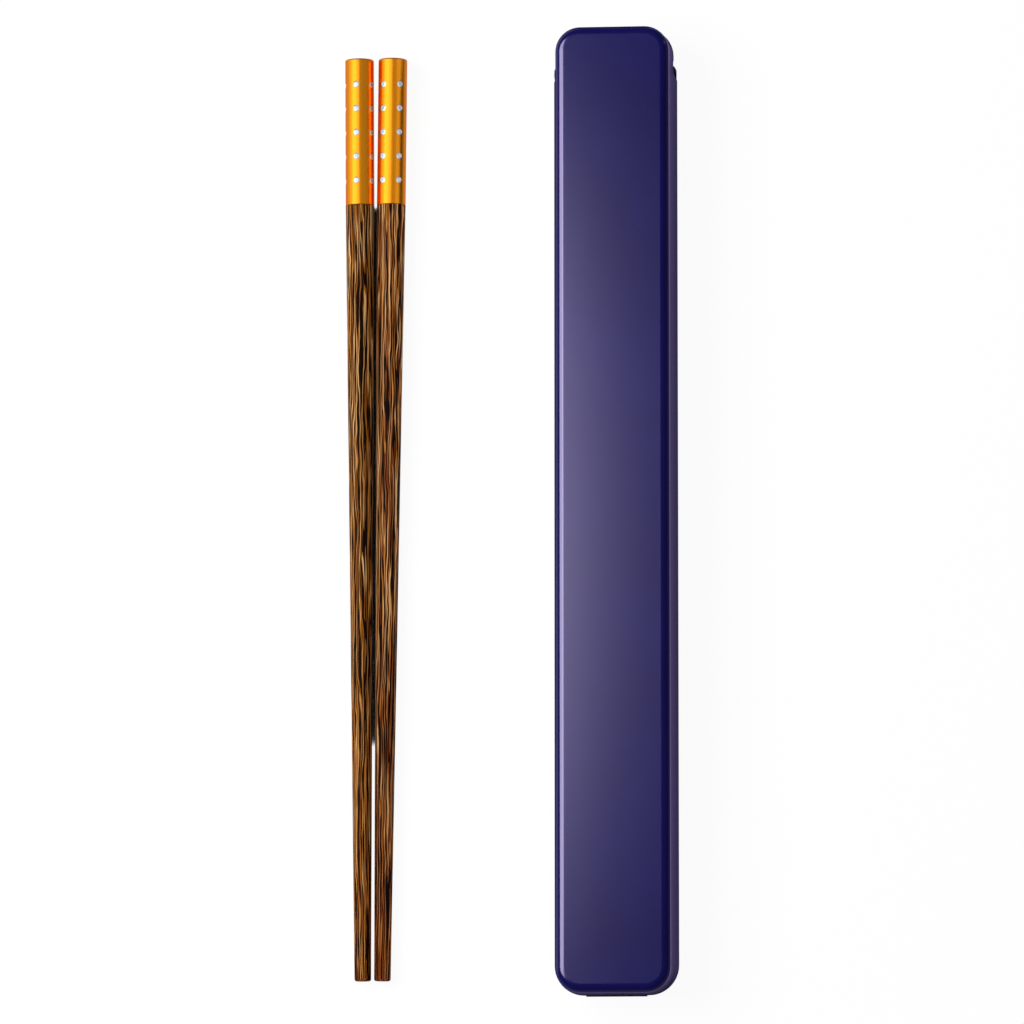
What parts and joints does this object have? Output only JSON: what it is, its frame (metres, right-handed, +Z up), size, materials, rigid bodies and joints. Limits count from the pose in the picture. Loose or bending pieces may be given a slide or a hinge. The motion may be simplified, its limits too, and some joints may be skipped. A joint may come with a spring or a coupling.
{
  "type": "portable chopstick case",
  "caption": "Slim moulded case with a rounded lid that slides off along rails, and the pair of tapered wooden chopsticks with jewelled gold sleeves that it carries, laid beside it.",
  "frame": {"origin": "on the tray's underside, below the middle of the closed lid", "axes": "+Y along the case, towards the open end of the lid and the grips of the chopsticks; +Z up"},
  "size_m": [0.0816, 0.2347, 0.019],
  "materials": {
    "case_plastic": "satin-gloss navy moulding",
    "wenge_wood": "oiled dark wood with tan streaks along the grain",
    "gold_aluminium": "gold anodised, fine turned satin",
    "clear_stone": "clear faceted stone on a silvered back"
  },
  "bodies": {
    "case_base": {"base_tray": "case_plastic"},
    "lid": {"sliding_lid": "case_plastic"},
    "left_chopstick": {"left_shaft": "wenge_wood", "left_grip_sleeve": "gold_aluminium", "left_stones": "clear_stone"},
    "right_chopstick": {"right_shaft": "wenge_wood", "right_grip_sleeve": "gold_aluminium", "right_stones": "clear_stone"}
  },
  "joints": [
    {"name": "lid_slide", "type": "slide", "parent": "case_base", "child": "lid", "axis": [0, -1, 0], "range_m": [0, 0.236]},
    {"name": "left_chopstick_lift", "type": "slide", "parent": "case_base", "child": "left_chopstick", "axis": [0, 0, 1], "range_m": [0, 0.06]},
    {"name": "right_chopstick_lift", "type": "slide", "parent": "case_base", "child": "right_chopstick", "axis": [0, 0, 1], "range_m": [0, 0.06]}
  ]
}
